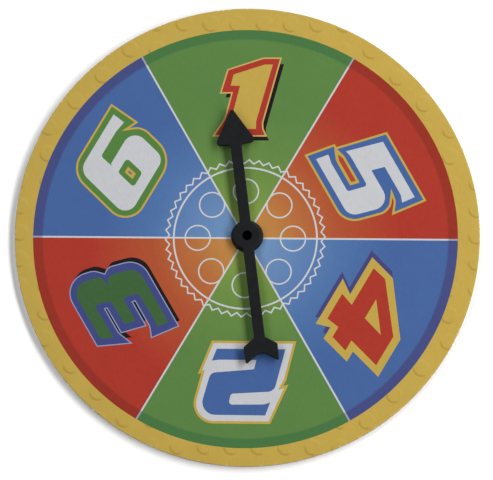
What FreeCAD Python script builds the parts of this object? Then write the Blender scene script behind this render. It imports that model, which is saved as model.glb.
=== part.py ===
import FreeCAD, Part
import math
import os

# Board-game spinner: a laminated card disc with a moulded arrow that spins on a snap-in spindle.
# Millimetres, +Z up. The origin is on the spin axis at the underside of the spindle's flange,
# which is the face that the spinner rests on. +Y points at the middle of the first sector.

# Card disc, three layers punched out together.
BOARD_DIAMETER = 165.0
BOARD_HOLE_DIAMETER = 5.4
BACKING_THICKNESS = 0.1
CORE_THICKNESS = 1.0
FACE_THICKNESS = 0.15

# Spindle base: a flange under the board and a hollow split post through it.
FLANGE_DIAMETER = 22.0
FLANGE_THICKNESS = 0.6
FLANGE_EDGE_RADIUS = 0.2
POST_DIAMETER = 5.0
POST_BORE_DIAMETER = 3.4
POST_FLOOR_THICKNESS = 1.0
BARB_DIAMETER = 5.7
BARB_LAND = 0.2
BARB_LEAD_HEIGHT = 0.5
BARB_TIP_DIAMETER = 4.4
SLOT_WIDTH = 0.8
SLOT_ANGLES = (0.0, 90.0)
SLOT_ABOVE_COLLAR = 0.1
GATE_DIMPLE_DIAMETER = 3.0
GATE_DIMPLE_DEPTH = 0.2

# Bearing collar, pressed on the post against the board's face.
COLLAR_DIAMETER = 8.0
COLLAR_THICKNESS = 0.5
COLLAR_PRESS = 0.03
COLLAR_CHAMFER = 0.12

# Arrow: arms, head and tail in one moulding with the hub.
ARROW_TURN = 7.6
ARM_WIDTH = 3.9
ARM_THICKNESS = 1.8
ARM_ABOVE_BOARD = 0.8
ARM_EDGE_RADIUS = 0.3
TIP_REACH = 46.55
TIP_RADIUS = 0.8
HEAD_BASE_REACH = 33.4
HEAD_WIDTH = 14.9
HEAD_CORNER_RADIUS = 1.2
NECK_REACH = 33.0
NECK_RADIUS = 1.0
TAIL_START_REACH = 36.95
TAIL_SHOULDER_REACH = 39.75
TAIL_SHOULDER_WIDTH = 12.1
TAIL_SHOULDER_RADIUS = 0.9
TAIL_TIP_REACH = 46.0
TAIL_TIP_WIDTH = 12.0
TAIL_TIP_RADIUS = 0.55
TAIL_ROOT_RADIUS = 0.4
NOTCH_REACH = 42.65
NOTCH_WIDTH = 2.3

# Hub of the arrow: a steep-sided boss level with the arms, turning on the post and held down by the barbs.
HUB_DIAMETER = 11.5
HUB_RIM_ABOVE_BOARD = 0.25
HUB_RIM_HEIGHT = 0.2
HUB_TOP_DIAMETER = 9.8
HUB_SHOULDER_RADIUS = 0.6
RECESS_DIAMETER = 8.6
COLLAR_PLAY = 0.1
RUNNING_CLEARANCE = 0.08
BEARING_WEB = 0.6
BARB_PLAY = 0.1
CHAMBER_DIAMETER = 6.2
CHAMBER_HEADROOM = 0.1
SIGHT_HOLE_DIAMETER = 3.5
SIGHT_HOLE_CHAMFER = 0.12

# Heights of the stack, worked out from the sizes above.
BACKING_BOTTOM = FLANGE_THICKNESS
CORE_BOTTOM = BACKING_BOTTOM + BACKING_THICKNESS
FACE_BOTTOM = CORE_BOTTOM + CORE_THICKNESS
BOARD_TOP = FACE_BOTTOM + FACE_THICKNESS
COLLAR_TOP = BOARD_TOP + COLLAR_THICKNESS
ARM_BOTTOM = BOARD_TOP + ARM_ABOVE_BOARD
ARM_TOP = ARM_BOTTOM + ARM_THICKNESS
HUB_BOTTOM = BOARD_TOP + HUB_RIM_ABOVE_BOARD
RECESS_TOP = COLLAR_TOP + COLLAR_PLAY
CHAMBER_BOTTOM = RECESS_TOP + BEARING_WEB
BARB_BOTTOM = CHAMBER_BOTTOM + BARB_PLAY
BARB_LAND_TOP = BARB_BOTTOM + BARB_LAND
POST_TOP = BARB_LAND_TOP + BARB_LEAD_HEIGHT
CHAMBER_TOP = POST_TOP + CHAMBER_HEADROOM

# Two lengths nearer to each other than this count as equal when edges are looked up.
SAME_LENGTH = 1e-6


def disc(diameter, bottom, top):
    """A solid cylinder on the spin axis."""
    return Part.makeCylinder(diameter / 2, top - bottom, FreeCAD.Vector(0, 0, bottom))


def turned(profile):
    """A solid of revolution about the spin axis from (radius, height) corners."""
    corners = [FreeCAD.Vector(radius, 0, height) for radius, height in profile]
    wire = Part.makePolygon(corners + corners[:1])
    return Part.Face(wire).revolve(FreeCAD.Vector(0, 0, 0), FreeCAD.Vector(0, 0, 1), 360)


def circles_at(shape, radius, height):
    """The circular edges of a shape that have this radius and lie at this height."""
    found = []
    for edge in shape.Edges:
        round_edge = isinstance(edge.Curve, Part.Circle)
        if round_edge and abs(edge.Curve.Radius - radius) < SAME_LENGTH:
            if abs(edge.Curve.Center.z - height) < SAME_LENGTH:
                found.append(edge)
    return found


def card_layer(bottom, thickness):
    """One punched layer of the card disc."""
    top = bottom + thickness
    return disc(BOARD_DIAMETER, bottom, top).cut(disc(BOARD_HOLE_DIAMETER, bottom, top))


def spindle_base():
    """Flange, hollow post and barbs, split into four fingers above the collar."""
    post_radius = POST_DIAMETER / 2
    flange = disc(FLANGE_DIAMETER, 0, FLANGE_THICKNESS)
    rims = circles_at(flange, FLANGE_DIAMETER / 2, 0)
    rims += circles_at(flange, FLANGE_DIAMETER / 2, FLANGE_THICKNESS)
    flange = flange.makeFillet(FLANGE_EDGE_RADIUS, rims)
    post = turned([
        (0, FLANGE_THICKNESS / 2),
        (post_radius, FLANGE_THICKNESS / 2),
        (post_radius, BARB_BOTTOM),
        (BARB_DIAMETER / 2, BARB_BOTTOM),
        (BARB_DIAMETER / 2, BARB_LAND_TOP),
        (BARB_TIP_DIAMETER / 2, POST_TOP),
        (0, POST_TOP),
    ])
    base = flange.fuse(post)
    base = base.cut(disc(POST_BORE_DIAMETER, POST_FLOOR_THICKNESS, POST_TOP))
    slot_bottom = COLLAR_TOP + SLOT_ABOVE_COLLAR
    for angle in SLOT_ANGLES:
        slot = Part.makeBox(BARB_DIAMETER * 2, SLOT_WIDTH, POST_TOP)
        slot.translate(FreeCAD.Vector(-BARB_DIAMETER, -SLOT_WIDTH / 2, slot_bottom))
        slot.rotate(FreeCAD.Vector(0, 0, 0), FreeCAD.Vector(0, 0, 1), angle)
        base = base.cut(slot)
    base = base.cut(disc(GATE_DIMPLE_DIAMETER, 0, GATE_DIMPLE_DEPTH))
    return base.removeSplitter()


def bearing_collar():
    """The washer that the arrow's hub runs on, tight on the post."""
    collar = disc(COLLAR_DIAMETER, BOARD_TOP, COLLAR_TOP)
    collar = collar.cut(disc(POST_DIAMETER - 2 * COLLAR_PRESS, BOARD_TOP, COLLAR_TOP))
    rims = circles_at(collar, COLLAR_DIAMETER / 2, BOARD_TOP)
    rims += circles_at(collar, COLLAR_DIAMETER / 2, COLLAR_TOP)
    return collar.makeChamfer(COLLAR_CHAMFER, rims)


def arrow_plan():
    """Corners of the flat arrow with the radius that each is rounded to, anticlockwise from the tip."""
    arm = ARM_WIDTH / 2
    right_side = [
        (0, TIP_REACH, TIP_RADIUS),
        (HEAD_WIDTH / 2, HEAD_BASE_REACH, HEAD_CORNER_RADIUS),
        (arm, NECK_REACH, NECK_RADIUS),
        (arm, -TAIL_START_REACH, TAIL_ROOT_RADIUS),
        (TAIL_SHOULDER_WIDTH / 2, -TAIL_SHOULDER_REACH, TAIL_SHOULDER_RADIUS),
        (TAIL_TIP_WIDTH / 2, -TAIL_TIP_REACH, TAIL_TIP_RADIUS),
        (NOTCH_WIDTH / 2, -NOTCH_REACH, TAIL_ROOT_RADIUS),
    ]
    left_side = [(-x, y, radius) for x, y, radius in right_side]
    return left_side + right_side[:0:-1]


def arrow_arms():
    """The flat arrow, its plan corners and its long edges rounded."""
    plan = arrow_plan()
    corners = [FreeCAD.Vector(x, y, ARM_BOTTOM) for x, y, radius in plan]
    wire = Part.makePolygon(corners + corners[:1])
    arms = Part.Face(wire).extrude(FreeCAD.Vector(0, 0, ARM_THICKNESS))
    for x, y, radius in plan:
        upright = [
            edge for edge in arms.Edges
            if all(math.hypot(v.X - x, v.Y - y) < SAME_LENGTH for v in edge.Vertexes)
        ]
        arms = arms.makeFillet(radius, upright)
    outline = [
        edge for edge in arms.Edges
        if all(abs(v.Z - ARM_TOP) < SAME_LENGTH for v in edge.Vertexes)
        or all(abs(v.Z - ARM_BOTTOM) < SAME_LENGTH for v in edge.Vertexes)
    ]
    return arms.makeFillet(ARM_EDGE_RADIUS, outline)


def arrow():
    """Arms and hub in one piece, bored for the post, with a chamber for the barbs."""
    hub = turned([
        (0, HUB_BOTTOM),
        (HUB_DIAMETER / 2, HUB_BOTTOM),
        (HUB_DIAMETER / 2, HUB_BOTTOM + HUB_RIM_HEIGHT),
        (HUB_TOP_DIAMETER / 2, ARM_TOP),
        (0, ARM_TOP),
    ])
    hub = hub.makeFillet(HUB_SHOULDER_RADIUS, circles_at(hub, HUB_TOP_DIAMETER / 2, ARM_TOP))
    piece = hub.fuse(arrow_arms())
    piece = piece.cut(disc(RECESS_DIAMETER, HUB_BOTTOM, RECESS_TOP))
    piece = piece.cut(disc(POST_DIAMETER + 2 * RUNNING_CLEARANCE, HUB_BOTTOM, CHAMBER_TOP))
    piece = piece.cut(disc(CHAMBER_DIAMETER, CHAMBER_BOTTOM, CHAMBER_TOP))
    sight_radius = SIGHT_HOLE_DIAMETER / 2
    piece = piece.cut(disc(SIGHT_HOLE_DIAMETER, CHAMBER_BOTTOM, ARM_TOP))
    countersink = turned([
        (0, ARM_TOP - SIGHT_HOLE_CHAMFER),
        (sight_radius, ARM_TOP - SIGHT_HOLE_CHAMFER),
        (sight_radius + SIGHT_HOLE_CHAMFER, ARM_TOP),
        (0, ARM_TOP),
    ])
    piece = piece.cut(countersink)
    piece.rotate(FreeCAD.Vector(0, 0, 0), FreeCAD.Vector(0, 0, 1), ARROW_TURN)
    return piece.removeSplitter()


def main():
    os.makedirs("parts", exist_ok=True)
    pieces = {
        "face_sheet": card_layer(FACE_BOTTOM, FACE_THICKNESS),
        "board_core": card_layer(CORE_BOTTOM, CORE_THICKNESS),
        "backing_sheet": card_layer(BACKING_BOTTOM, BACKING_THICKNESS),
        "spindle_base": spindle_base(),
        "bearing_collar": bearing_collar(),
        "arrow": arrow(),
    }
    for name, shape in pieces.items():
        box = shape.BoundBox
        print(name, "solids", len(shape.Solids), "valid", shape.isValid(), "volume", round(shape.Volume, 2),
              "z", round(box.ZMin, 3), round(box.ZMax, 3))
        shape.exportStep(os.path.join("parts", name + ".step"))


main()
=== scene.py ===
import math

import bmesh
import bpy
import numpy as np
from mathutils import Euler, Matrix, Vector
from mathutils.geometry import delaunay_2d_cdt


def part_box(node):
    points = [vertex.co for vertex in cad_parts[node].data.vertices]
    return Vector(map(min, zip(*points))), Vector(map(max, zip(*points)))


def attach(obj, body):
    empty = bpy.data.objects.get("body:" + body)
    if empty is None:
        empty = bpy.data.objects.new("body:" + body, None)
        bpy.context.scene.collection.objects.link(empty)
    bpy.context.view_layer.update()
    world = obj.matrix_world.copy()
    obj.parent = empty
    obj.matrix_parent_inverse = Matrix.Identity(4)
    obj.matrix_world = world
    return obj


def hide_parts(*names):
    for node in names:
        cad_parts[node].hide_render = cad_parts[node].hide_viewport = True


# A card game spinner: the printed face is cut up ink by ink into flat meshes that tile the card's top,
# the card's layers get finer meshes with a punched edge, and the plastic parts are the CAD ones.
# The artwork is drawn in millimetres about the print's own centre, with +Y through the sector numbered 1.

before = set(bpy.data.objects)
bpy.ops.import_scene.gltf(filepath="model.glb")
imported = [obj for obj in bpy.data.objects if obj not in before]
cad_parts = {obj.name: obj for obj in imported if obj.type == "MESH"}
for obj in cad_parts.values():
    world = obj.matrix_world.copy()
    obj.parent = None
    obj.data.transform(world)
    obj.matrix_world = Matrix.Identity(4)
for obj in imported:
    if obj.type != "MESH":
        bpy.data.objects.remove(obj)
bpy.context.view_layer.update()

MM = 0.001
FACE_LOW, FACE_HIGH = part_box("face_sheet")
CORE_LOW, CORE_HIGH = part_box("board_core")
BACK_LOW, BACK_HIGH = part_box("backing_sheet")
BOARD_RADIUS = FACE_HIGH.x / MM
HOLE_RADIUS = 2.7

# Layout of the print.
PRINT_OFFSET = (-0.65, -0.63)
FIELD_RADIUS = 75.35
NUMERAL_SCALE = 0.9973
BAND_START = 71.9
BAND_SOFTNESS = 0.5
SECTORS = 6
LINE_WIDTH = 0.62
GEAR_CIRCLE_RADIUS = 25.4
GEAR_LINE_WIDTH = 0.5
GEAR_TEETH = 50
GEAR_PEAK_RADIUS = 28.35
GEAR_VALLEY_RADIUS = 26.95
GEAR_FIRST_PEAK = 1.5
RING_HOLES = 8
RING_HOLE_PLACE = 16.9
RING_HOLE_RADIUS = 4.45
BUMP_PITCH = 9.53
BUMP_PHASE = (5.7, -74.8)
BUMP_RADIUS = 2.75
BUMP_LINE = 0.55
BUMP_SHADE_SIDE = (-0.55, -0.835, 0)

# The cut edge of the card.
ROLL_WIDTH = 0.45
ROLL_STEPS = ((0.25, 0.02), (0.10, 0.06), (0.03, 0.11))
EDGE_SEGMENTS = 480
FIELD_SEGMENTS = 360
PUNCH_WAVES = 24
ARC_STEP = math.radians(7)

# Closer than this, two points are one: in mm in the artwork, and in metres in a mesh.
SAME_POINT = 1e-6
SAME_PLACE = 1e-7

# How bright the stage lights a matt white surface, and what the varnish reflects of it.
LIGHT_LEVEL = 1.17
SHEEN = 0.010


def srgb(red, green, blue):
    """A linear colour from the values 0 to 255 that a screen shows."""
    def linear(value):
        value /= 255
        return value / 12.92 if value <= 0.04045 else ((value + 0.055) / 1.055) ** 2.4
    return (linear(red), linear(green), linear(blue), 1)


def ink(red, green, blue):
    """The colour of an ink that shows as these screen values under the stage's light and the varnish."""
    seen = srgb(red, green, blue)
    return tuple(max(channel - SHEEN, 0.001) / LIGHT_LEVEL for channel in seen[:3]) + (1,)


# Inks as (radius in mm, colour) stops outward from the print's centre, then the colour in the rim band.
SECTOR_INKS = {
    "green": (
        ((5, ink(140, 160, 76)), (15, ink(116, 146, 72)), (30, ink(101, 135, 71)), (46, ink(92, 130, 71))),
        ink(74, 117, 69),
    ),
    "red": (
        ((6, ink(188, 138, 74)), (19, ink(181, 110, 64)), (33, ink(174, 84, 54)), (55, ink(170, 59, 48))),
        ink(149, 54, 43),
    ),
    "blue": (
        ((6, ink(111, 145, 186)), (19, ink(99, 131, 179)), (33, ink(81, 115, 167)), (50, ink(72, 102, 157))),
        ink(71, 79, 130),
    ),
}
WHITE = (((10, ink(202, 203, 204)), (60, ink(199, 201, 206))), ink(158, 156, 178))
YELLOW = ink(191, 163, 78)
PALE_YELLOW = ink(200, 172, 100)
NUMERAL_RED = ink(170, 59, 48)
NUMERAL_BLUE = ink(71, 101, 157)
NUMERAL_WHITE = ink(197, 199, 204)
NUMERAL_GREEN = ink(86, 129, 66)
DARK_GREEN = ink(66, 101, 62)
VIOLET = ink(67, 76, 132)
LILAC = ink(146, 156, 192)
INDIGO = ink(72, 72, 124)
BLACK_INK = ink(38, 33, 33)
PAPER = srgb(206, 202, 192)
BUMP_SHADE = ink(160, 128, 56)
BUMP_LIGHT = ink(206, 180, 98)
SPECK = srgb(92, 84, 74)
ARROW_BLACK = (0.0066, 0.0072, 0.0086, 1)
SPINDLE_BLACK = (0.0060, 0.0060, 0.0064, 1)


# ---------------------------------------------------------------- outlines

def area_of(points):
    """Signed area, positive when the points run anticlockwise."""
    following = np.roll(points, -1, axis=0)
    return 0.5 * float(np.sum(points[:, 0] * following[:, 1] - following[:, 0] * points[:, 1]))


def rounded(corners):
    """Points of a closed outline whose corners (x, y, radius) are rounded to their radii."""
    count = len(corners)
    points = []
    for index in range(count):
        corner = np.array(corners[index][:2], float)
        radius = corners[index][2]
        before = np.array(corners[index - 1][:2], float) - corner
        after = np.array(corners[(index + 1) % count][:2], float) - corner
        before_length, after_length = np.linalg.norm(before), np.linalg.norm(after)
        before, after = before / before_length, after / after_length
        half = 0.5 * math.acos(max(-1.0, min(1.0, float(before @ after))))
        if radius <= 0 or half > math.radians(89):
            points.append(corner)
            continue
        reach = min(radius / math.tan(half), 0.98 * before_length, 0.98 * after_length)
        radius = reach * math.tan(half)
        middle = before + after
        centre = corner + middle / np.linalg.norm(middle) * radius / math.sin(half)
        start = corner + before * reach - centre
        turn = math.pi - 2 * half
        side = math.copysign(1, before[1] * after[0] - before[0] * after[1])
        steps = max(2, math.ceil(turn / ARC_STEP))
        for step in range(steps + 1):
            angle = side * turn * step / steps
            spin = np.array([[math.cos(angle), -math.sin(angle)], [math.sin(angle), math.cos(angle)]])
            points.append(centre + spin @ start)
    return np.array(points)


def inset(corners, width):
    """The same outline drawn in by a width, with mitred corners and matching radii."""
    if area_of(np.array(corners, float)[:, :2]) < 0:
        corners = corners[::-1]
    count = len(corners)
    drawn_in = []
    for index in range(count):
        before = np.array(corners[index - 1][:2], float)
        corner = np.array(corners[index][:2], float)
        after = np.array(corners[(index + 1) % count][:2], float)
        incoming = (corner - before) / np.linalg.norm(corner - before)
        outgoing = (after - corner) / np.linalg.norm(after - corner)
        inward = np.array([-incoming[1], incoming[0]]) + np.array([-outgoing[1], outgoing[0]])
        moved = corner + inward * width / (1 + float(incoming @ outgoing))
        convex = incoming[0] * outgoing[1] - incoming[1] * outgoing[0] > 0
        radius = corners[index][2]
        if radius > 0:
            radius = max(radius - width, 0) if convex else radius + width
        drawn_in.append((moved[0], moved[1], radius))
    return drawn_in


def moved(corners, shift):
    """The same outline moved sideways."""
    return [(x + shift[0], y + shift[1], radius) for x, y, radius in corners]


def turned(points, degrees):
    """Points turned about the print's centre."""
    angle = math.radians(degrees)
    spin = np.array([[math.cos(angle), -math.sin(angle)], [math.sin(angle), math.cos(angle)]])
    return points @ spin.T


def circle(radius, centre=(0, 0), segments=None):
    """Points of a circle."""
    segments = segments or max(48, int(radius * 4))
    angles = np.arange(segments) * 2 * math.pi / segments
    return np.stack([centre[0] + radius * np.cos(angles), centre[1] + radius * np.sin(angles)], axis=1)


# ---------------------------------------------------------------- artwork

class Region:
    """One flat colour area: the piece it belongs to, its paint and its outlines, counted even-odd."""

    def __init__(self, piece, paint, loops):
        self.piece = piece
        self.paint = paint
        self.loops = loops


# Numerals stand in their sector with their tops outward. Each entry is the sector's middle angle, the
# outermost outline with the ink and width of its thin edge, the band's ink, the fill's ink and outline,
# further layers on top, a drop shadow's ink and shift, and a small lean. Corners are (x, y, radius).
ONE = {
    "angle": 90,
    "outline": [
        (12.2, 65.65, 0), (5.6, 65.6, 2), (-7.2, 61.25, 0.8), (-9.8, 52.35, 0), (-5.75, 52.4, 0),
        (-7.95, 43.4, 12), (-12.35, 36.75, 0), (7.3, 36.85, 0), (5.95, 39.8, 2), (5.85, 41.8, 2),
    ],
    "edge": ("cream", 0.5),
    "band": "red",
    "fill": ("yellow", [
        (9.0, 63.05, 0), (6.2, 63.05, 2), (-4.95, 59.35, 0.5), (-5.95, 55.3, 0), (-2.6, 55.25, 0),
        (-5.3, 44.2, 9), (-8.3, 39.6, 0), (3.3, 39.6, 0), (3.3, 42.4, 2),
    ]),
    "shadow": ("black", (1.45, -1.9)),
}
TWO = {
    "angle": -90,
    "outline": [
        (-9.65, 66.8, 0), (-15.95, 52.6, 0), (-14.1, 53.1, 0), (-15.2, 51.0, 3), (-18.6, 37.0, 0),
        (11.4, 37.0, 0), (16.25, 49.05, 0), (15.0, 48.75, 0), (19.7, 66.75, 7.2),
    ],
    "edge": ("yellow", 0.9),
    "band": "white",
    "fill": ("blue", [
        (-7.85, 63.75, 0), (-9.6, 59.05, 0), (-7.3, 59.8, 1), (5.3, 59.95, 1.2), (4.4, 56.05, 1.2),
        (-10.9, 55.1, 3), (-14.75, 39.9, 0), (9.6, 39.9, 0), (11.3, 44.2, 0), (8.7, 43.85, 2),
        (-4.5, 43.85, 0), (-3.7, 47.2, 0.6), (11.7, 48.55, 2.5), (15.9, 63.65, 4.6),
    ]),
}
THREE = {
    "angle": -150,
    "lean": 0.28,
    "outline": [
        (-7.85, 65.0, 0), (-13.1, 53.45, 0), (-7.3, 55.75, 5), (2.55, 55.75, 0), (2.4, 55.2, 0),
        (-7.9, 55.2, 0), (-10.1, 46.0, 0), (-0.15, 46.0, 0), (-0.3, 45.25, 0), (-10.9, 45.25, 6),
        (-14.75, 46.85, 0), (-15.95, 36.0, 0), (12.3, 36.0, 7.5), (15.3, 47.4, 3.2), (13.8, 49.75, 0),
        (16.7, 52.4, 5), (19.6, 65.0, 7.6),
    ],
    "edge": ("lilac", 0.36),
    "band": "violet",
    "fill": ("dark_green", [
        (-6.1, 62.5, 0.3), (-8.0, 58.2, 0.3), (5.6, 58.5, 1), (4.1, 52.75, 1.2), (-5.6, 52.5, 0.3),
        (-6.5, 48.45, 0.3), (2.9, 48.45, 1), (1.7, 42.75, 1.5), (-12.3, 42.6, 0.3), (-12.7, 38.6, 0.3),
        (9.7, 38.55, 4.5), (12.7, 49.3, 3), (9.3, 50.9, 0), (13.6, 51.3, 2.5), (16.0, 62.5, 4.8),
    ]),
    "shadow": ("black", (1.3, -1.55)),
}
FOUR = {
    "angle": -30,
    "outline": [
        (3.5, 66.1, 0), (-14.2, 52.5, 1), (-16.95, 42.4, 0), (-1.5, 42.4, 0), (-5.05, 37.3, 0),
        (13.8, 37.3, 0), (12.35, 42.4, 0), (16.95, 42.4, 0), (19.95, 53.75, 0), (15.75, 53.8, 0),
        (19.05, 66.1, 0),
    ],
    "band": "yellow",
    "fill": ("red", [
        (3.9, 63.4, 0), (-12.5, 50.35, 0.5), (-13.8, 44.85, 0), (1.5, 44.85, 0), (-0.2, 39.9, 0),
        (10.1, 39.9, 0), (10.8, 44.85, 0), (14.9, 44.85, 0), (16.8, 51.3, 0), (12.6, 51.3, 0),
        (15.85, 63.4, 0),
    ]),
    "details": [("yellow", [(5.6, 59.25, 0), (3.3, 51.3, 0), (-4.65, 51.3, 0)])],
    "shadow": ("indigo", (-2.0, -1.45)),
}
FIVE = {
    "angle": 30,
    "outline": [
        (-8.65, 62.7, 0), (-12.75, 44.35, 0), (-14.05, 44.35, 0), (-15.9, 33.05, 0), (13.1, 33.05, 7.5),
        (16.7, 47.6, 5), (15.4, 50.9, 4), (12.9, 52.7, 0), (14.5, 52.45, 3), (18.45, 49.4, 0),
        (19.95, 62.65, 0),
    ],
    "edge": ("yellow", 0.75),
    "band": "blue",
    "fill": ("white", [
        (-6.3, 59.7, 0), (-9.75, 46.55, 0), (-7.4, 47.1, 3), (4.9, 47.1, 1), (3.2, 39.95, 1),
        (-8.6, 39.9, 3), (-11.1, 40.45, 0), (-11.85, 40.45, 0), (-12.55, 35.9, 0), (11.3, 35.9, 4.4),
        (15.3, 51.05, 4.6), (0.7, 51.05, 0), (1.95, 55.8, 0), (13.6, 55.8, 4), (16.3, 54.8, 0),
        (16.75, 59.7, 0),
    ]),
    "details": [("yellow", [
        (-13.5, 43.75, 0), (-8.7, 45.2, 4), (2.55, 45.25, 0.3), (1.75, 41.8, 0.3), (-8.6, 41.8, 4),
    ])],
    "slot": [(-10.3, 43.5, 0), (-8.0, 44.4, 1.5), (1.35, 44.4, 0), (0.85, 42.75, 0), (-8.0, 42.75, 1.5)],
}
SIX = {
    "angle": 150,
    "outline": [
        (-11.05, 66.2, 8.5), (-18.4, 36.95, 7.4), (12.5, 36.95, 9.6), (15.9, 50.4, 6), (15.4, 53.4, 5),
        (13.4, 56.0, 0), (16.75, 54.4, 0), (17.65, 66.15, 0),
    ],
    "edge": ("yellow", 0.7),
    "band": "green",
    "fill": ("white", [
        (-8.9, 63.45, 5), (-14.8, 39.9, 4.2), (10.2, 39.9, 4.2), (13.9, 55.05, 4.4), (-1.1, 55.05, 0.3),
        (-1.65, 54.3, 0), (-0.55, 59.5, 1.3), (9.8, 59.5, 4), (14.15, 58.75, 0), (14.75, 63.45, 0),
    ]),
    "details": [
        ("green", [(-2.5, 51.3, 1.2), (-4.3, 43.75, 1), (1.8, 43.75, 1.4), (3.6, 51.3, 1.2)]),
        ("yellow", [(-1.25, 49.25, 0), (-2.0, 45.6, 0), (0.35, 45.6, 0), (1.05, 49.3, 0)]),
        ("blue", [(-0.6, 48.3, 0), (-0.85, 46.7, 0), (-0.35, 46.7, 0), (0.05, 48.3, 0)]),
    ],
}
NUMERALS = {1: ONE, 2: TWO, 3: THREE, 4: FOUR, 5: FIVE, 6: SIX}
SECTOR_COLOURS = {1: "green", 2: "green", 3: "red", 4: "blue", 5: "red", 6: "blue"}


def numeral_regions(number, design):
    """The flat colour areas of one numeral, lowest first."""
    piece = f"print_numeral_{number}"
    slot = [design["slot"]] if "slot" in design else []
    band = design["outline"]
    layers = []
    if "edge" in design:
        edge_ink, edge_width = design["edge"]
        layers.append((edge_ink, [band] + slot))
        band = inset(band, edge_width)
    if "shadow" in design:
        shadow_ink, shift = design["shadow"]
        layers.insert(0, (shadow_ink, [moved(band, shift)]))
    layers.append((design["band"], [band] + slot))
    fill_ink, fill = design["fill"]
    layers.append((fill_ink, [fill]))
    for detail_ink, outline in design.get("details", []):
        layers.append((detail_ink, [outline] + slot))
    regions = []
    turn = design["angle"] - 90 + design.get("lean", 0)
    for layer_ink, outlines in layers:
        loops = [turned(rounded(outline) * NUMERAL_SCALE, turn) for outline in outlines]
        regions.append(Region(piece, layer_ink, loops))
    return regions


def ring_loops(radius, width, centre=(0, 0)):
    """Two circles that bound a drawn circle of this line width."""
    return [circle(radius + width / 2, centre), circle(radius - width / 2, centre)]


def gear_outline():
    """The zigzag drawn round the gear's circle."""
    corners = []
    for tooth in range(GEAR_TEETH):
        for half, radius in ((0, GEAR_PEAK_RADIUS), (0.5, GEAR_VALLEY_RADIUS)):
            angle = math.radians(GEAR_FIRST_PEAK) + (tooth + half) * 2 * math.pi / GEAR_TEETH
            corners.append((radius * math.cos(angle), radius * math.sin(angle), 0))
    return corners


def line_regions():
    """The white lines: one between every two sectors, and the drawn gear."""
    regions = []
    for sector in range(SECTORS):
        half = LINE_WIDTH / 2
        near, far = HOLE_RADIUS / 2, FIELD_RADIUS + LINE_WIDTH
        strip = np.array([(near, -half), (far, -half), (far, half), (near, half)])
        regions.append(Region("print_lines", "sector_white", [turned(strip, sector * 360 / SECTORS)]))
    regions.append(Region("print_lines", "sector_white", ring_loops(GEAR_CIRCLE_RADIUS, LINE_WIDTH)))
    zigzag = [rounded(inset(gear_outline(), side * GEAR_LINE_WIDTH / 2)) for side in (-1, 1)]
    regions.append(Region("print_lines", "sector_white", zigzag))
    for hole in range(RING_HOLES):
        angle = hole * 2 * math.pi / RING_HOLES
        centre = (RING_HOLE_PLACE * math.cos(angle), RING_HOLE_PLACE * math.sin(angle))
        ring = ring_loops(RING_HOLE_RADIUS, GEAR_LINE_WIDTH, centre)
        regions.append(Region("print_lines", "sector_white", ring))
    return regions


def inside(points, loops):
    """Which points lie inside the loops, counted even-odd."""
    hits = np.zeros(len(points), int)
    x, y = points[:, 0:1], points[:, 1:2]
    for loop in loops:
        ends = np.roll(loop, -1, axis=0)
        crosses = (loop[:, 1] > y) != (ends[:, 1] > y)
        rise = ends[:, 1] - loop[:, 1]
        rise = np.where(rise == 0, 1, rise)
        at = loop[:, 0] + (y - loop[:, 1]) / rise * (ends[:, 0] - loop[:, 0])
        hits += np.sum(crosses & (x < at), axis=1)
    return hits % 2 == 1


def cut_artwork(regions, limits):
    """Cuts the plane along every outline. Returns points, triangles and each triangle's middle."""
    points, edges = [], []
    for loop in [loop for region in regions for loop in region.loops] + limits:
        start = len(points)
        points += [Vector(point) for point in loop]
        edges += [(start + k, start + (k + 1) % len(loop)) for k in range(len(loop))]
    cut = delaunay_2d_cdt(points, edges, [], 0, SAME_POINT, False)
    points = np.array([tuple(point) for point in cut[0]])
    triangles = np.array([tuple(face) for face in cut[2]])
    return points, triangles, points[triangles].mean(axis=1)


# ---------------------------------------------------------------- meshes

def add_piece(name, points, faces, materials, paints=None, smooth=False):
    """A mesh object from points in metres, with a material index for each face."""
    mesh = bpy.data.meshes.new(name)
    mesh.from_pydata([tuple(point) for point in points], [], [tuple(face) for face in faces])
    for material in materials:
        mesh.materials.append(material)
    if paints is not None:
        mesh.polygons.foreach_set("material_index", np.array(paints, np.int32))
    mesh.polygons.foreach_set("use_smooth", np.full(len(mesh.polygons), smooth))
    mesh.update()
    piece = bpy.data.objects.new(name, mesh)
    bpy.context.scene.collection.objects.link(piece)
    return piece


def tidy_flat(piece):
    """Merges a flat piece's doubled points and turns its faces upward."""
    flat = bmesh.new()
    flat.from_mesh(piece.data)
    bmesh.ops.remove_doubles(flat, verts=flat.verts, dist=SAME_PLACE)
    bmesh.ops.recalc_face_normals(flat, faces=flat.faces)
    if sum(face.normal.z for face in flat.faces) < 0:
        bmesh.ops.reverse_faces(flat, faces=flat.faces)
    flat.to_mesh(piece.data)
    flat.free()


def lathe(name, profile, materials, paint_of_step, wobble=None):
    """A closed turned piece from a closed (radius, height) profile in mm, listed anticlockwise."""
    segments = EDGE_SEGMENTS
    angles = np.arange(segments) * 2 * math.pi / segments
    count = len(profile)
    points, faces, paints = [], [], []
    for step, (radius, height) in enumerate(profile):
        radii = np.full(segments, float(radius))
        if wobble is not None:
            radii = radii + wobble(step, angles)
        for angle, r in zip(angles, radii):
            points.append((r * math.cos(angle) * MM, r * math.sin(angle) * MM, height * MM))
    for step in range(count):
        following = (step + 1) % count
        for k in range(segments):
            after = (k + 1) % segments
            faces.append((
                step * segments + k, step * segments + after,
                following * segments + after, following * segments + k,
            ))
            paints.append(paint_of_step(step))
    return add_piece(name, points, faces, materials, paints, smooth=True)


# ---------------------------------------------------------------- materials

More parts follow.
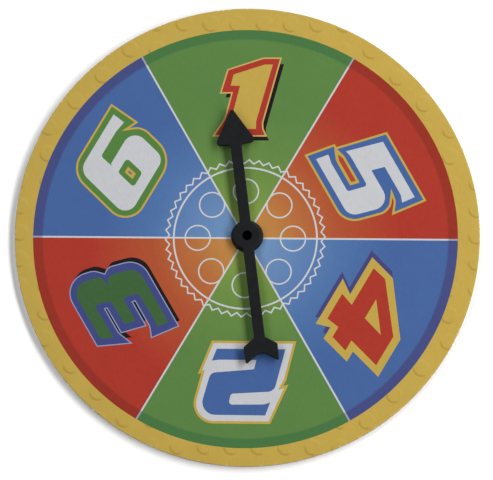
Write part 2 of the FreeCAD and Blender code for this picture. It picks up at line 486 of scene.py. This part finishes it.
class Paint:
    """A material under construction, with short calls for the nodes that are used here."""

    def __init__(self, name):
        self.material = bpy.data.materials.new(name)
        self.material.use_nodes = True
        self.tree = self.material.node_tree
        self.shader = self.tree.nodes["Principled BSDF"]
        place = self.node("ShaderNodeTexCoord")
        self.place = self.vector("SCALE", place.outputs["Object"], scale=1 / MM)

    def node(self, kind, **settings):
        made = self.tree.nodes.new(kind)
        for key, value in settings.items():
            setattr(made, key, value)
        return made

    def feed(self, socket, value):
        """Links a node's output to a socket, or sets the socket to a constant."""
        if isinstance(value, bpy.types.NodeSocket):
            self.tree.links.new(value, socket)
        elif socket.type == "VECTOR":
            socket.default_value = value[:3]
        else:
            socket.default_value = value

    def math(self, operation, first, second=0.0):
        made = self.node("ShaderNodeMath", operation=operation)
        self.feed(made.inputs[0], first)
        self.feed(made.inputs[1], second)
        return made.outputs[0]

    def vector(self, operation, first, second=None, scale=None):
        made = self.node("ShaderNodeVectorMath", operation=operation)
        self.feed(made.inputs[0], first)
        if second is not None:
            self.feed(made.inputs[1], second)
        if scale is not None:
            self.feed(made.inputs["Scale"], scale)
        return made.outputs["Value" if operation in ("LENGTH", "DOT_PRODUCT") else "Vector"]

    def span(self, value, low, high, to_low=0.0, to_high=1.0, smooth=True):
        """value from low..high mapped to to_low..to_high, clamped."""
        kind = "SMOOTHSTEP" if smooth else "LINEAR"
        made = self.node("ShaderNodeMapRange", interpolation_type=kind)
        for key, number in (("Value", value), ("From Min", low), ("From Max", high),
                            ("To Min", to_low), ("To Max", to_high)):
            self.feed(made.inputs[key], number)
        return made.outputs["Result"]

    def noise(self, per_mm, detail=2.0, stretch=(1, 1, 1), roughness=0.5, distortion=0.0):
        """Noise with this many features per millimetre, 0 to 1, about 0.5 on average."""
        place = self.vector("MULTIPLY", self.place, tuple(per_mm * s for s in stretch))
        made = self.node("ShaderNodeTexNoise")
        self.feed(made.inputs["Vector"], place)
        for key, number in (("Scale", 1.0), ("Detail", detail), ("Roughness", roughness),
                            ("Distortion", distortion)):
            made.inputs[key].default_value = number
        return made.outputs["Fac"]

    def mix(self, factor, first, second):
        made = self.node("ShaderNodeMix", data_type="RGBA")
        self.feed(made.inputs["Factor"], factor)
        self.feed(made.inputs[6], first)
        self.feed(made.inputs[7], second)
        return made.outputs[2]

    def ramp(self, value, stops):
        """A colour ramp through (position 0 to 1, colour) stops."""
        made = self.node("ShaderNodeValToRGB")
        self.feed(made.inputs["Fac"], value)
        elements = made.color_ramp.elements
        while len(elements) < len(stops):
            elements.new(0.5)
        for element, (position, colour) in zip(elements, stops):
            element.position = position
            element.color = colour
        return made.outputs["Color"]

    def tint(self, colour, factor):
        """colour with its brightness multiplied by a factor output."""
        return self.vector("SCALE", colour, scale=factor)

    def bump(self, height, distance, strength=1.0, under=None):
        made = self.node("ShaderNodeBump")
        made.inputs["Strength"].default_value = strength
        made.inputs["Distance"].default_value = distance
        self.feed(made.inputs["Height"], height)
        if under is not None:
            self.feed(made.inputs["Normal"], under)
        return made.outputs["Normal"]

    def from_print_centre(self):
        """Distance from the print's centre in mm."""
        flat = self.vector("MULTIPLY", self.place, (1, 1, 0))
        return self.vector("LENGTH", self.vector("SUBTRACT", flat, (*PRINT_OFFSET, 0)))

    def finish_print(self, colour):
        """Litho ink on coated paper: mottled colour, satin varnish, fibres just showing."""
        cloud = self.span(self.noise(0.09, 3), 0.25, 0.75, 0.975, 1.025, smooth=False)
        fibre = self.span(self.noise(1.5, 3, stretch=(1.5, 0.35, 1)), 0.2, 0.8, 0.955, 1.045, smooth=False)
        colour = self.tint(colour, self.math("MULTIPLY", cloud, fibre))
        self.feed(self.shader.inputs["Base Color"], colour)
        gloss = self.span(self.noise(0.7, 4), 0.2, 0.8, 0.40, 0.56, smooth=False)
        self.feed(self.shader.inputs["Roughness"], gloss)
        self.shader.inputs["Specular IOR Level"].default_value = 0.2
        grain = self.bump(self.noise(4.0, 3, stretch=(1.6, 0.6, 1)), 0.012 * MM, 0.6)
        waves = self.bump(self.noise(0.25, 2), 0.05 * MM, 0.4, under=grain)
        self.feed(self.shader.inputs["Normal"], waves)
        return self.material


def field_paint(name, stops, band_colour):
    """An ink of the sectors, shaded outward from the centre and darkened in the rim band."""
    paint = Paint(name)
    radius = paint.from_print_centre()
    scaled = paint.math("DIVIDE", radius, BOARD_RADIUS)
    colour = paint.ramp(scaled, [(r / BOARD_RADIUS, stop) for r, stop in stops])
    ragged = paint.math("ADD", radius, paint.span(paint.noise(0.8, 2), 0.2, 0.8, -0.15, 0.15, smooth=False))
    band = paint.span(ragged, BAND_START - BAND_SOFTNESS, BAND_START + BAND_SOFTNESS)
    return paint.finish_print(paint.mix(band, colour, band_colour))


def flat_paint(name, colour):
    """An ink of the numerals."""
    paint = Paint(name)
    blotch = paint.span(paint.noise(0.5, 3), 0.3, 0.7, 0.0, 0.12)
    darker = tuple(0.8 * channel for channel in colour[:3]) + (1,)
    return paint.finish_print(paint.mix(blotch, colour, darker))


def border_paint():
    """The yellow border with a grid of drawn round bumps, worn where it rolls over the cut edge."""
    paint = Paint("ink_border")
    start = (PRINT_OFFSET[0] + BUMP_PHASE[0], PRINT_OFFSET[1] + BUMP_PHASE[1], 0)
    flat = paint.vector("MULTIPLY", paint.vector("SUBTRACT", paint.place, start), (1, 1, 0))
    cells = paint.vector("ADD", paint.vector("SCALE", flat, scale=1 / BUMP_PITCH), (0.5, 0.5, 0.5))
    local = paint.vector("SUBTRACT", paint.vector("FRACTION", cells), (0.5, 0.5, 0.5))
    local = paint.vector("SCALE", local, scale=BUMP_PITCH)
    local = paint.vector("MULTIPLY", local, (1, 1, 0))
    distance = paint.vector("LENGTH", local)
    facing = paint.vector("DOT_PRODUCT", paint.vector("NORMALIZE", local), BUMP_SHADE_SIDE)
    off_line = paint.math("ABSOLUTE", paint.math("SUBTRACT", distance, BUMP_RADIUS))
    line = paint.span(off_line, BUMP_LINE * 0.35, BUMP_LINE, 1.0, 0.0)
    shade = paint.math("MULTIPLY", line, paint.span(facing, 0.2, 0.9))
    light = paint.math("MULTIPLY", line, paint.span(facing, -0.3, -0.95))
    colour = paint.mix(paint.math("MULTIPLY", shade, 0.55), YELLOW, BUMP_SHADE)
    colour = paint.mix(paint.math("MULTIPLY", light, 0.25), colour, BUMP_LIGHT)
    from_axis = paint.vector("LENGTH", paint.vector("MULTIPLY", paint.place, (1, 1, 0)))
    near_edge = paint.span(from_axis, BOARD_RADIUS - 0.55, BOARD_RADIUS - 0.05)
    chips = paint.span(paint.noise(0.9, 5, roughness=0.7), 0.56, 0.66)
    colour = paint.mix(paint.math("MULTIPLY", near_edge, chips), colour, PAPER)
    return paint.finish_print(colour)


def card_paint(name, light_colour, dark_colour, layered):
    """Pressed fibre: greyboard on the cut edge, or plain uncoated paper."""
    paint = Paint(name)
    stretch = (1, 1, 7) if layered else (1, 1, 1)
    fibres = paint.noise(2.2, 6, stretch=stretch, roughness=0.7, distortion=0.6)
    specks = paint.span(paint.noise(3.5, 2), 0.66, 0.74)
    colour = paint.mix(paint.span(fibres, 0.3, 0.7), dark_colour, light_colour)
    colour = paint.mix(paint.math("MULTIPLY", specks, 0.5), colour, SPECK)
    paint.feed(paint.shader.inputs["Base Color"], colour)
    paint.feed(paint.shader.inputs["Roughness"], paint.span(fibres, 0.2, 0.8, 0.8, 0.95, smooth=False))
    paint.shader.inputs["Specular IOR Level"].default_value = 0.2
    paint.feed(paint.shader.inputs["Normal"], paint.bump(fibres, 0.06 * MM, 0.8))
    return paint.material


def plastic_paint(name, colour, roughness):
    """Black moulded polystyrene, finely textured, with flow marks and rubbed spots."""
    paint = Paint(name)
    flow = paint.span(paint.noise(0.25, 4, distortion=1.2), 0.25, 0.75, 0.8, 1.25, smooth=False)
    paint.feed(paint.shader.inputs["Base Color"], paint.tint(colour, flow))
    rubbed = paint.span(paint.noise(0.8, 5, roughness=0.65), 0.3, 0.75, roughness - 0.08, roughness + 0.1)
    paint.feed(paint.shader.inputs["Roughness"], rubbed)
    paint.shader.inputs["Specular IOR Level"].default_value = 0.14
    grain = paint.bump(paint.noise(7.0, 3), 0.01 * MM, 0.6)
    scratches = paint.noise(0.6, 6, stretch=(4, 0.4, 1), roughness=0.8)
    fine = paint.bump(paint.span(scratches, 0.6, 0.64), 0.006 * MM, 0.5, under=grain)
    paint.feed(paint.shader.inputs["Normal"], fine)
    return paint.material


def make_inks():
    """Every printing ink's material by name."""
    inks = {f"sector_{c}": field_paint(f"ink_sector_{c}", *SECTOR_INKS[c]) for c in SECTOR_INKS}
    inks["sector_white"] = field_paint("ink_lines_white", *WHITE)
    inks["border"] = border_paint()
    for name, colour in (
        ("yellow", YELLOW), ("cream", PALE_YELLOW), ("red", NUMERAL_RED), ("blue", NUMERAL_BLUE),
        ("white", NUMERAL_WHITE), ("green", NUMERAL_GREEN), ("dark_green", DARK_GREEN),
        ("violet", VIOLET), ("lilac", LILAC), ("indigo", INDIGO), ("black", BLACK_INK),
    ):
        inks[name] = flat_paint(f"ink_{name}", colour)
    return inks


# ---------------------------------------------------------------- the printed face

def printed_face(inks, paper_edge):
    """Every piece of the printed face sheet, cut so that they meet edge to edge on one level."""
    regions = line_regions()
    for number, design in NUMERALS.items():
        regions += numeral_regions(number, design)
    centre = (-PRINT_OFFSET[0], -PRINT_OFFSET[1])
    flat_edge = circle(BOARD_RADIUS - ROLL_WIDTH, centre, EDGE_SEGMENTS)
    field = circle(FIELD_RADIUS, segments=FIELD_SEGMENTS)
    regions.append(Region("print_border", "border", [flat_edge, field]))
    hole = circle(HOLE_RADIUS, centre)
    points, triangles, middles = cut_artwork(regions, [hole])

    keep = inside(middles, [flat_edge, hole])
    triangles, middles = triangles[keep], middles[keep]
    angle = np.degrees(np.arctan2(middles[:, 1], middles[:, 0]))
    sector_numbers = np.zeros(len(triangles), int)
    for number, design in NUMERALS.items():
        off = (angle - design["angle"] + 180) % 360 - 180
        sector_numbers[np.abs(off) <= 180 / SECTORS] = number
    owner = np.array([f"print_sector_{number}" for number in sector_numbers], dtype=object)
    paint_name = np.array([f"sector_{SECTOR_COLOURS[number]}" for number in sector_numbers], dtype=object)
    for region in regions:
        covered = inside(middles, region.loops)
        owner[covered] = region.piece
        paint_name[covered] = region.paint

    top = FACE_HIGH.z
    places = np.concatenate([(points + PRINT_OFFSET) * MM, np.full((len(points), 1), top)], axis=1)
    pieces = []
    for name in sorted(set(owner)):
        mine = owner == name
        used = sorted(set(paint_name[mine]))
        used_points, faces = np.unique(triangles[mine], return_inverse=True)
        faces = faces.reshape(-1, 3)
        paints = [used.index(one) for one in paint_name[mine]]
        spots = places[used_points]
        materials = [inks[one] for one in used]
        if name == "print_border":
            spots, faces, paints = rolled_edge(spots, faces, paints)
            materials.append(paper_edge)
        piece = add_piece(name, spots, faces, materials, paints, smooth=name == "print_border")
        tidy_flat(piece)
        pieces.append(piece)
    return pieces


def rolled_edge(spots, faces, paints):
    """Adds the border's outer rim, where the punch drew the paper down over the board."""
    angles = np.arange(EDGE_SEGMENTS) * 2 * math.pi / EDGE_SEGMENTS
    spots, faces, paints = [tuple(s) for s in spots], [tuple(f) for f in faces], list(paints)
    levels = [(ROLL_WIDTH, 0.0), *ROLL_STEPS, (0.0, (FACE_HIGH.z - FACE_LOW.z) / MM)]
    first = len(spots)
    for inward, drop in levels:
        radius = (BOARD_RADIUS - inward) * MM
        for angle in angles:
            spots.append((radius * math.cos(angle), radius * math.sin(angle), FACE_HIGH.z - drop * MM))
    for level in range(len(levels) - 1):
        for k in range(EDGE_SEGMENTS):
            after = (k + 1) % EDGE_SEGMENTS
            low, high = first + level * EDGE_SEGMENTS, first + (level + 1) * EDGE_SEGMENTS
            faces.append((low + k, high + k, high + after, low + after))
            paints.append(1 if level == len(levels) - 2 else 0)
    return spots, faces, paints


# ---------------------------------------------------------------- the card

def punched_wobble(seed, size):
    """Small seeded unevenness of a punched edge, the same at every rerun."""
    random = np.random.default_rng(seed)
    waves = [(random.integers(40, 900), random.uniform(0, 2 * math.pi)) for _ in range(PUNCH_WAVES)]

    def wobble(angles):
        total = sum(np.sin(count * angles + phase) for count, phase in waves)
        return -size * (0.5 + 0.5 * total / len(waves) * 3)
    return wobble


def core_board(edge_material, face_material):
    """The greyboard disc: cut clean in its upper half and torn a little in its lower half."""
    top, bottom, radius = CORE_HIGH.z / MM, CORE_LOW.z / MM, BOARD_RADIUS
    thickness = top - bottom
    # How far the rim's points stand inward in mm, and how deep they lie as a share of the thickness.
    rim = [(0.00, 0.0), (0.00, 0.15), (0.03, 0.4), (0.05, 0.6), (0.04, 0.8), (0.01, 0.95), (0.05, 1.0)]
    profile = [(HOLE_RADIUS, bottom), (radius - 1.0, bottom)]
    profile += [(radius - inward, bottom + (1 - depth) * thickness) for inward, depth in reversed(rim)]
    profile += [(radius - 1.0, top), (HOLE_RADIUS, top)]
    rough = [punched_wobble(level, 0.03 if level > 3 else 0.05) for level in range(len(rim))]
    rim_start = 2

    def wobble(step, angles):
        level = step - rim_start
        return rough[level](angles) if 0 <= level < len(rim) else 0 * angles
    return lathe(
        "card_core", profile, [edge_material, face_material],
        lambda step: 0 if rim_start <= step < rim_start + len(rim) else 1, wobble=wobble,
    )


def back_sheet(material):
    """The backing paper, turned up a little where the punch left it."""
    top, bottom, radius = BACK_HIGH.z / MM, BACK_LOW.z / MM, BOARD_RADIUS
    profile = [
        (HOLE_RADIUS, bottom), (radius - 0.6, bottom), (radius - 0.2, bottom + 0.01),
        (radius - 0.05, bottom + 0.04), (radius - 0.02, top), (HOLE_RADIUS, top),
    ]
    return lathe("backing_paper", profile, [material], lambda step: 0)


# ---------------------------------------------------------------- stage

CAMERA_DISTANCE = 3.0
CAMERA_TILT = 10.4
CAMERA_AZIMUTH = 9.5
CAMERA_ROLL = -8.9
CAMERA_TARGET = (-0.00033, -0.00064, -0.00162)
VIEW_WIDTH = 0.1750
SENSOR_WIDTH = 36.0
LIGHT_DISTANCE = 1.1
LIGHT_LENGTH = 3.2
KEY_LIGHT = {"azimuth": 12, "off_vertical": 51.5, "width": 0.335, "watts": 32, "colour": (1, 0.985, 0.96)}
FILL_LIGHT = {"azimuth": 168, "off_vertical": 41, "width": 0.36, "watts": 12.3, "colour": (0.97, 0.985, 1)}
WORLD_LIGHT = 0.012
FLOOR_HALF = 3.0
FLOOR_COLOUR = (0.97, 0.97, 0.97, 1)


def make_camera():
    """A long lens well above the card, a little to its near side."""
    data = bpy.data.cameras.new("camera")
    data.sensor_width = SENSOR_WIDTH
    data.lens = SENSOR_WIDTH * CAMERA_DISTANCE / VIEW_WIDTH
    data.clip_end = 10
    camera = bpy.data.objects.new("camera", data)
    bpy.context.scene.collection.objects.link(camera)
    turn = Euler((0, 0, math.radians(CAMERA_ROLL))).to_matrix()
    lean = Euler((math.radians(CAMERA_TILT), 0, 0)).to_matrix()
    swing = Euler((0, 0, math.radians(CAMERA_AZIMUTH))).to_matrix()
    facing = swing @ lean @ turn
    camera.rotation_mode = "QUATERNION"
    camera.rotation_quaternion = facing.to_quaternion()
    camera.location = Vector(CAMERA_TARGET) + facing.col[2] * CAMERA_DISTANCE
    bpy.context.scene.camera = camera


def strip_light(name, azimuth, off_vertical, width, watts, colour):
    """A long soft light above the spinner and facing it, off to one side by its azimuth from +X."""
    data = bpy.data.lights.new(name, "AREA")
    data.shape = "RECTANGLE"
    data.size = width
    data.size_y = LIGHT_LENGTH
    data.energy = watts
    data.color = colour
    light = bpy.data.objects.new(name, data)
    light.rotation_euler = (0, math.radians(off_vertical), math.radians(azimuth))
    light.location = light.rotation_euler.to_matrix().col[2] * LIGHT_DISTANCE
    bpy.context.scene.collection.objects.link(light)


def make_stage():
    """A plain pale floor under soft light."""
    paint = Paint("floor")
    tone = paint.span(paint.noise(0.01, 2), 0.2, 0.8, 0.98, 1.0, smooth=False)
    paint.feed(paint.shader.inputs["Base Color"], paint.tint(FLOOR_COLOUR, tone))
    paint.shader.inputs["Roughness"].default_value = 0.9
    half = FLOOR_HALF
    floor = add_piece(
        "floor", [(-half, -half, 0), (half, -half, 0), (half, half, 0), (-half, half, 0)],
        [(0, 1, 2, 3)], [paint.material],
    )
    world = bpy.data.worlds.new("studio")
    world.use_nodes = True
    world.node_tree.nodes["Background"].inputs["Color"].default_value = (1, 1, 1, 1)
    world.node_tree.nodes["Background"].inputs["Strength"].default_value = WORLD_LIGHT
    bpy.context.scene.world = world
    strip_light("key", **KEY_LIGHT)
    strip_light("fill", **FILL_LIGHT)
    bpy.context.scene.view_settings.view_transform = "Standard"


# ---------------------------------------------------------------- assembly

def main():
    """Makes every piece, puts it on its body in place of its CAD node, and sets the stage."""
    greyboard = card_paint("greyboard_edge", srgb(150, 140, 122), srgb(118, 106, 90), layered=True)
    paper = card_paint("backing_paper", srgb(214, 211, 203), srgb(198, 194, 184), layered=False)
    paper_edge = card_paint("paper_cut_edge", srgb(196, 190, 176), srgb(168, 160, 142), layered=True)
    for piece in printed_face(make_inks(), paper_edge):
        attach(piece, "board")
        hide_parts("face_sheet")
    core = core_board(greyboard, paper_edge)
    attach(core, "board")
    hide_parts("board_core")
    back = back_sheet(paper)
    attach(back, "board")
    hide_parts("backing_sheet")

    arrow_plastic = plastic_paint("arrow_plastic", ARROW_BLACK, 0.55)
    spindle_plastic = plastic_paint("spindle_plastic", SPINDLE_BLACK, 0.5)
    for node, material in (
        ("arrow", arrow_plastic), ("spindle_base", spindle_plastic), ("bearing_collar", spindle_plastic),
    ):
        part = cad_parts[node]
        part.data.materials.clear()
        part.data.materials.append(material)
    make_camera()
    make_stage()


main()
